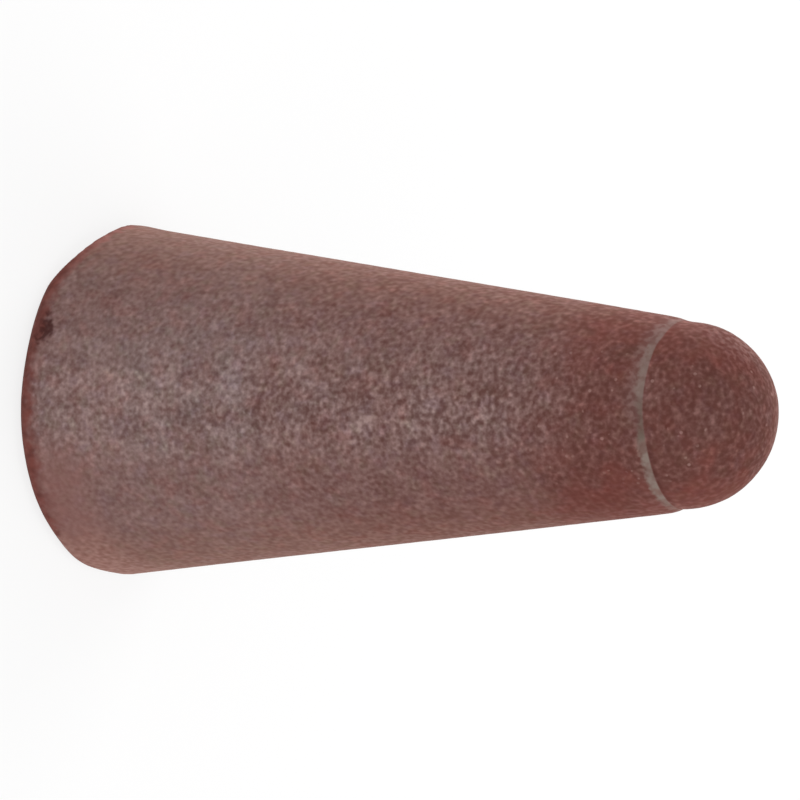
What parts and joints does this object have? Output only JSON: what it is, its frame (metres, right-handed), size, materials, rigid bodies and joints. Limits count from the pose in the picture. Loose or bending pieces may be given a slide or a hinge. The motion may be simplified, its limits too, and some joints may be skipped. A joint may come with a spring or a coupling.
{
  "type": "abrasive cone point",
  "caption": "Unmounted tapered abrasive point with a domed tip, a rubbed ring where the taper ends and a blind mandrel hole in the flat base.",
  "frame": {"origin": "centre of the flat base, which the cone stands on", "axes": "+Z along the axis of the cone, from the base up to the domed tip; the chip and the worn flat of the rim lie on the -Y, -X side"},
  "size_m": [0.022, 0.022, 0.0445],
  "materials": {
    "bonded_abrasive": "matt, grainy, dusty"
  },
  "bodies": {
    "root": {"abrasive_cone": "bonded_abrasive"}
  },
  "joints": []
}
